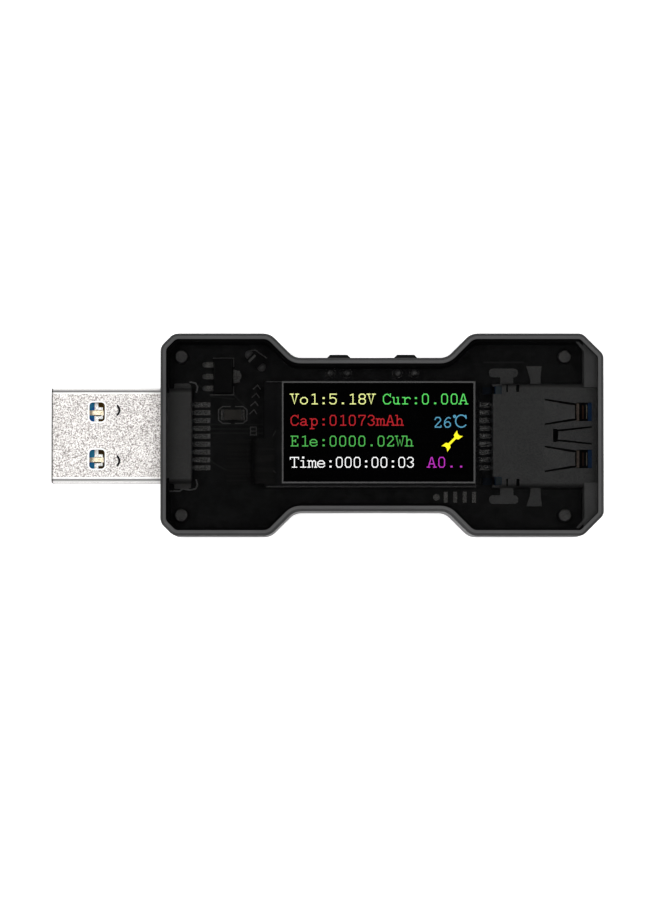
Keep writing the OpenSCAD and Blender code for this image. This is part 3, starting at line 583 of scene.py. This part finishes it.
ribbons(
    "glass_marks",
    [([(-6.45 * MM, 0.5 * MM), (-6.8 * MM, -0.1 * MM)], False),
     ([(-6.75 * MM, -4.5 * MM), (-6.45 * MM, -4.75 * MM)], False)],
    0.1 * MM,
    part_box("display_glass")[1].z + 0.005 * MM,
    moulded("glass_mark", (0.3, 0.3, 0.3), 0.5),
)


# ---------------------------------------------------------------- marks on the board

board_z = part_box("circuit_board")[1].z
INK = moulded("board_ink", (0.8, 0.8, 0.78), 0.6, spread=0.25)
TRACE = moulded("board_trace", (0.12, 0.125, 0.12), 0.35)
MATT_SOLDER = moulded("matt_solder", (0.85, 0.85, 0.84), 0.4, spread=0.3, Metallic=0.3)


def board_marks():
    """Plain outlines round the parts: no lettering."""
    low, high = (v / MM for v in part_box("regulator_body"))
    x1 = high.x + 0.05
    lines = [
        [(low.x, high.y + 0.08), (x1, high.y + 0.08), (x1, high.y - 0.95)],
        [(low.x - 0.35, low.y - 0.08), (x1, low.y - 0.08), (x1, low.y + 0.95)],
    ]
    low, high = (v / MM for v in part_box("filter_capacitor"))
    middle = (low.x + high.x) / 2
    for side in (-1, 1):
        edge = middle + side * 1.8
        lines.append([
            (middle + side * 0.32, high.y + 0.42), (edge - side * 0.5, high.y + 0.42), (edge, high.y),
            (edge, low.y), (edge - side * 0.5, low.y - 0.42), (middle + side * 0.32, low.y - 0.42),
        ])
    low, high = (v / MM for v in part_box("clamp_diode"))
    lines.append([
        (low.x + 0.3, high.y + 0.25), (low.x + 1.1, high.y + 0.3), (high.x + 0.35, high.y - 0.7),
    ])
    low, high = (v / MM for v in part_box("filter_capacitor"))
    x, y = high.x + 1.2, low.y - 0.9
    lines.append(rectangle(x, y - 1, x + 0.75, y) + [(x, y - 1)])
    lines.append([(x, y - 0.5), (x + 0.75, y - 0.5)])
    for i in range(4):
        x, y = high.x + 1.1 + 0.15 * i, high.y - 0.5 + 1.05 * i
        lines.append([(x, y), (x + 0.55, y + 0.5), (x + 0.9, y)])
    return open_lines(lines)


ribbons("board_marks", board_marks(), 0.14 * MM, board_z + 0.012 * MM, INK)


def board_traces():
    """Tracks under the mask, from the plug's feet to the parts beside them."""
    low, high = (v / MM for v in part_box("regulator_body"))
    plug_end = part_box("plug_shell")[1].x / MM
    flex_low, flex_high = (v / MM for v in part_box("display_flex"))
    lines = [
        [(high.x + 0.05, low.y - 0.08), (high.x + 1.5, low.y - 1.5), (high.x + 1.9, low.y - 2.6)],
        [(low.x - 1.9, low.y + 1.2), (low.x - 0.2, low.y - 0.3), (high.x + 0.1, low.y - 0.6)],
        [(plug_end + 2.3, -3), (plug_end + 2.9, -3.5), (flex_low.x + 0.2, -4.4)],
    ]
    low, high = (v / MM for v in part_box("socket_shell"))
    lines.append([(low.x - 0.6, high.y + 0.5), (low.x + 4.3, high.y + 0.5)])
    for i in range(3):
        y = 0.4 + 0.55 * i
        bend = flex_high.x - 1.2 + 0.3 * i
        lines.append([(plug_end + 2.2, y), (bend, y), (flex_high.x - 0.2, y + 1)])
    return open_lines(lines)


ribbons("board_traces", board_traces(), 0.22 * MM, board_z + 0.008 * MM, TRACE)


def blobs(name, places, material, z):
    """Solder fillets as one piece: flattened domes (x, y, radius, height) in mm standing on z."""
    bm = bmesh.new()
    for x, y, radius, height in places:
        size = Matrix.Diagonal((radius * MM, radius * MM, height * MM, 1))
        turn = Matrix.Translation((x * MM, y * MM, z)) @ size
        grown = bmesh.ops.create_uvsphere(bm, u_segments=20, v_segments=12, radius=1.0, matrix=turn)
        below = [v for v in grown["verts"] if v.co.z < z - height * MM * 0.05]
        bmesh.ops.delete(bm, geom=below, context="VERTS")
    for face in bm.faces:
        face.smooth = True
    return piece(name, bm, material)


def solder_fillets():
    """At the diode, the capacitor, the toes of the regulator's leads and the switches' pins."""
    low, high = (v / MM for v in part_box("clamp_diode"))
    x, y = (low.x + high.x) / 2, (low.y + high.y) / 2
    places = [(x + s * 0.78, y - s * 0.78, 0.58, 0.4) for s in (-1, 1)]
    low, high = (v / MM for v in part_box("filter_capacitor"))
    y = (low.y + high.y) / 2
    for x in (low.x - 0.05, high.x + 0.05):
        places += [(x, y + shift, 0.28, 0.55) for shift in (-0.35, 0.35)]
    low, high = (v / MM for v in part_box("regulator_leads"))
    places += [(low.x - 0.1, (low.y + high.y) / 2 + 1.5 * i, 0.34, 0.28) for i in (-1, 0, 1)]
    low, high = (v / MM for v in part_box("switch_pins"))
    y = (low.y + high.y) / 2
    for button in ("button_left", "button_right"):
        x = sum(v.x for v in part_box(button)) / 2 / MM
        places += [(x + side * 1.07, y, 0.51, 0.46) for side in (-1, 1)]
    return places


blobs("solder_fillets", solder_fillets(), MATT_SOLDER, board_z + 0.03 * MM)


def solder_lines():
    """Rings of solder: round the regulator's tab and along the legs of the plug's shell."""
    low, high = (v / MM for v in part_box("regulator_body"))
    x, y = high.x + 0.25, (low.y + high.y) / 2
    ring = arc(x, y, 0.72, 0.6, -88, 88, 10)
    leg = [
        (-3.0, 0.32), (-1.5, 0.3), (-1.2, 0.02), (-0.2, 0.15), (0.5, 0.0), (0.75, -0.5), (0.6, -1.1),
    ]
    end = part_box("plug_shell")[1].x / MM
    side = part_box("plug_shell")[0].y / MM
    legs = [(end + u, side - v) for u, v in leg]
    curl = [(end + u, -side + v) for u, v in leg[3:]]
    return open_lines((ring, legs, curl))


ribbons(
    "solder_lines", solder_lines(), 0.2 * MM, board_z + 1.25 * MM, MATT_SOLDER,
    thickness=0.3 * MM)


def diode_band():
    """The stripe that marks one end of the diode."""
    low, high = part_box("clamp_diode")
    x, y = (low.x + high.x) / 2, (low.y + high.y) / 2
    start = (x - 0.72 * MM, y - 0.08 * MM)
    end = (x - 0.08 * MM, y + 0.56 * MM)
    return [([start, end], False)]


diode_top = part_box("clamp_diode")[1].z
ribbons("diode_band", diode_band(), 0.3 * MM, diode_top + 0.01 * MM, INK)


# ---------------------------------------------------------------- behind the connectors' openings


def bars(name, boxes, z, thickness, material):
    """Flat bars (x0, y0, x1, y1) in mm with their tops at z."""
    bm = bmesh.new()
    for box in boxes:
        top = bm.faces.new([bm.verts.new((x * MM, y * MM, z)) for x, y in rectangle(*box)])
        deepen(bm, [top], thickness)
    bmesh.ops.recalc_face_normals(bm, faces=bm.faces)
    return piece(name, bm, material)


def rounded(x, y, length, width, radius):
    """The outline of a rounded rectangle about (x, y), all in mm."""
    points = []
    for turn, (u, v) in zip((0, 90, 180, 270), ((1, 1), (-1, 1), (-1, -1), (1, -1))):
        corner = x + u * (length / 2 - radius), y + v * (width / 2 - radius)
        points += arc(corner[0] * MM, corner[1] * MM, radius * MM, radius * MM, turn, turn + 90, 5)
    return points


def plug_details():
    """Latches and painted highlight rims at the shell's two windows, and the two slits with their stops;
    the slits and the slots are filled with near-black painted shade.
    """
    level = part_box("plug_power_contacts")[1].z
    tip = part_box("plug_shell")[0].x / MM
    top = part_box("plug_shell")[1].z
    x, window_ys = tip + 5.77, (-2.99, 2.99)
    hollows, plates, sides, straps, stops, slots = [], [], [], [], [], []
    for y in window_ys:
        hollows.append((x - 0.2, y - 1.35, x + 1.05, y + 1.35))
        sides.append((x - 1.05, y - 1.35, x - 0.42, y + 1.35))
        plates.append((x - 0.42, y - 1.15, x + 0.06, y + 1.25))
        plates.append((x + 0.06, y - 0.8, x + 0.62, y + 0.68))
        straps.append((x - 1.05, y - 0.34, x + 0.72, y + 0.28))
        stops.append((x + 1.9, y - 0.75, x + 3.1, y + 1.1))
        slots.append((x - 0.5, y - 0.44, x + 0.45, y - 0.3))
        slots.append((x - 0.4, y + 0.28, x + 0.5, y + 0.35))
    step = 0.03 * MM
    brown = moulded("plug_hollow", (0.07, 0.035, 0.004), 0.6, spread=0.6, Specular_IOR_Level=0.1)
    # Near-black painted shade, filling the slots and the slits.
    painted_opening_shade = moulded("plug_slot_painted_shade", (0.012, 0.01, 0.012), 0.6, Specular_IOR_Level=0.05)
    # Painted highlight: a bright ring round each of the shell's windows.
    painted_light = plated("plug_painted_highlight", (0.95, 0.95, 0.94), (0.85, 0.85, 0.84), 0.4)
    steel = plated("plug_latch", (0.9, 0.9, 0.88), (0.5, 0.5, 0.48), 0.3)
    brass = plated("plug_strap", (1.0, 0.9, 0.7), (0.7, 0.55, 0.35), 0.3)
    g = Graph("plug_side", (0.01, 0.17, 0.42), 0.45, Specular_IOR_Level=0.2)
    g.colour(g.ramp(g.noise(0.6 * MM, detail=1), (0.42, (0.004, 0.12, 0.5)), (0.6, (0.02, 0.28, 0.5))))
    for name, boxes, layer, material, slot in (
        ("plug_hollows", hollows, 1, brown, "blue_plastic"),
        ("plug_sides", sides, 2, g.material, "blue_plastic"),
        ("plug_latches", plates, 3, steel, "plug_metal"),
        ("plug_straps", straps, 4, brass, "gold_contact"),
        ("plug_stops", stops, 1, brown, "blue_plastic"),
        ("plug_slot_shadows", slots, 5, painted_opening_shade, "blue_plastic"),
    ):
        bars(name, boxes, level + layer * step, step / 2, material)
    # Painted shade inside the two slits.
    slits = open_lines(arc(tip + 7.85, y, 0.74, 0.74, -58, 58, 14) for y in (-3.2, 3.2))
    ribbons("plug_slit_shadows", slits, 0.3 * MM, top - 0.05 * MM, painted_opening_shade)
    # Painted highlight rings round the windows.
    rims = [(rounded(x, y, 2.14, 2.61, 0.54), True) for y in window_ys]
    ribbons("plug_window_highlights", rims, 0.16 * MM, top + 0.006 * MM, painted_light)


plug_details()


def socket_details():
    """Painted shade for the room below the finger windows and for the side slots, with the contacts' ends
    there; the blue corners painted paler as painted light, and the blue heels painted darker as painted
    shade.
    """
    low, high = (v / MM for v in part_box("socket_shell"))
    rear_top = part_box("socket_insulator")[1].z
    level = rear_top - 0.55 * MM
    step = 0.03 * MM
    # Near-black painted shade for the room below the finger windows and for the side slots.
    painted_opening_shade = moulded("socket_opening_shade", (0.004, 0.004, 0.006), 0.7, Specular_IOR_Level=0.1)
    beige = plated("socket_spring", (0.75, 0.6, 0.5), (0.45, 0.35, 0.28), 0.35)
    brown = moulded("socket_brown", (0.2, 0.07, 0.03), 0.5, spread=0.4)
    cream = plated("socket_edge", (0.95, 0.9, 0.7), (0.6, 0.55, 0.4), 0.35)
    end = high.x - 1.0
    rooms = [(low.x + 4.2, -5.2, end, 5.2)]
    springs, stripes, edges, lips = [], [], [], []
    for y in (-2.98, 2.98):
        springs.append((end - 1.95, y - 1.1, end - 1.6, y + 1.1))
        stripes.append((end - 1.25, y - 0.85, end - 1.0, y + 0.85))
        edges.append((end - 0.72, y - 0.85, end - 0.6, y + 0.85))
        lips.append((end - 0.5, y - 1.15, end + 0.02, y + 1.15))
    for name, boxes, layer, material, slot in (
        ("socket_room_shade", rooms, 1, painted_opening_shade, "blue_plastic"),
        ("socket_springs", springs, 2, beige, "gold_contact"),
        ("socket_stripes", stripes, 2, brown, "blue_plastic"),
        ("socket_edges", edges, 2, cream, "gold_contact"),
        ("socket_lip", lips, 2, MATERIALS["blue_plastic"], "blue_plastic"),
    ):
        bars(name, boxes, level + layer * step, step / 2, material)
    slots, corners, heels = [], [], []
    shell_length = 13.55
    rear = high.x - shell_length
    for side in (-1, 1):
        for x0, x1 in ((1.65, 1.95), (2.9, 3.4)):
            y0, y1 = sorted((side * 5.45, side * 6.45))
            slots.append((rear + x0, y0, rear + x1, y1))
        y0, y1 = sorted((side * 5.3, side * 6.2))
        corners.append((rear + 0.35, y0, rear + 1.05, y1))
        heels.append((rear - 1.2, y0, rear - 0.05, y1))
    # The blue insulator painted paler at the corners as painted light, and darker at the heels as painted
    # shade.
    painted_lit_blue = moulded("socket_corner_painted_light", (0.32, 0.45, 0.52), 0.4, spread=0.4)
    painted_shade_blue = moulded("socket_heel_painted_shade", (0.012, 0.05, 0.11), 0.4, spread=0.4)
    bars("socket_slot_shadows", slots, rear_top + 0.015 * MM, 0.01 * MM, painted_opening_shade)
    bars("socket_corners", corners, rear_top + 0.02 * MM, 0.01 * MM, painted_lit_blue)
    bars("socket_heels", heels, board_z + 0.6 * MM, 0.6 * MM, painted_shade_blue)


socket_details()


def end_trim():
    """Grey infill between the end supports, the socket's shell and the corners of the board."""
    low, high = (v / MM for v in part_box("end_supports"))
    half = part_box("socket_insulator")[1].y / MM - 0.2
    level = high.z - 0.05
    strips = []
    for side in (-1, 1):
        y0, y1 = sorted((side * half, side * (half + 0.9)))
        strips.append((low.x, y0, high.x, y1))
    bars("end_strips", strips, level * MM, 1.4 * MM, MATERIALS["grey_plastic"])
    for name, side in (("end_corner_low", -1), ("end_corner_high", 1)):
        edge = side * (high.y + 0.45)
        corner = [
            (low.x - 1.2, edge), (low.x - 0.45, edge), (low.x, side * high.y), (low.x, edge - side * 1.4),
        ]
        outline = [(x * MM, y * MM) for x, y in corner]
        filled(name, outline, MATERIALS["grey_plastic"], level * MM)


end_trim()


# ---------------------------------------------------------------- stage, lights and camera


def floor():
    """A plain pale floor just below the part."""
    mesh = bpy.data.meshes.new("floor")
    half = 4.0
    z = cad_box[0].z - 0.02 * MM
    corners = [(x, y, z) for x, y in rectangle(-half, -half, half, half)]
    mesh.from_pydata(corners, [], [(0, 1, 2, 3)])
    thing = bpy.data.objects.new("floor", mesh)
    scene.collection.objects.link(thing)
    g = Graph("studio_floor", (0.9, 0.9, 0.9), 0.9, Specular_IOR_Level=0.1)
    g.shader.inputs["Emission Color"].default_value = (1.0, 1.0, 1.0, 1.0)
    g.shader.inputs["Emission Strength"].default_value = 0.72
    mesh.materials.append(g.material)


def studio():
    """A soft white surround, dark straight above so that the window mirrors no light."""
    world = bpy.data.worlds.new("studio")
    scene.world = world
    world.use_nodes = True
    tree = world.node_tree
    background = tree.nodes["Background"]
    background.inputs["Color"].default_value = (1.0, 1.0, 1.0, 1.0)
    direction = tree.nodes.new("ShaderNodeTexCoord").outputs["Generated"]
    split = tree.nodes.new("ShaderNodeSeparateXYZ")
    tree.links.new(direction, split.inputs["Vector"])
    fade = tree.nodes.new("ShaderNodeMapRange")
    fade.interpolation_type = "SMOOTHSTEP"
    outer, inner = math.radians(24), math.radians(9)
    around, overhead = 0.35, 0.01
    fade.inputs["From Min"].default_value = math.cos(outer)
    fade.inputs["From Max"].default_value = math.cos(inner)
    fade.inputs["To Min"].default_value = around
    fade.inputs["To Max"].default_value = overhead
    tree.links.new(split.outputs["Z"], fade.inputs["Value"])
    tree.links.new(fade.outputs["Result"], background.inputs["Strength"])


def softbox(name, place, size, power):
    """A rectangular area light at place, aimed at the object."""
    data = bpy.data.lights.new(name, "AREA")
    data.shape = "RECTANGLE"
    data.size, data.size_y = size
    data.energy = power
    thing = bpy.data.objects.new(name, data)
    scene.collection.objects.link(thing)
    thing.location = Vector(place)
    thing.rotation_euler = (-thing.location).to_track_quat("-Z", "Y").to_euler()


def camera():
    """Looks down on the display from a little towards the plain side."""
    tilt = math.radians(2.2)
    distance = 0.55
    pixels_per_metre = 7950.0
    picture_height = 900
    aim = Vector((0.40 * MM, -1.956 * MM, cad_box[1].z))
    data = bpy.data.cameras.new("camera")
    data.sensor_width = 36.0
    data.lens = data.sensor_width * distance * pixels_per_metre / picture_height
    data.clip_start = 0.01
    data.clip_end = 20.0
    thing = bpy.data.objects.new("camera", data)
    scene.collection.objects.link(thing)
    thing.location = aim + distance * Vector((0, -math.sin(tilt), math.cos(tilt)))
    thing.rotation_euler = (tilt, 0, 0)
    scene.camera = thing


floor()
studio()
softbox("key_left", (-0.35, 0.0, 0.75), (0.3, 0.5), 2.3)
softbox("key_right", (0.35, 0.0, 0.75), (0.3, 0.5), 2.3)
softbox("low_front", (-0.55, -0.5, 0.2), (0.25, 0.2), 1.0)
camera()
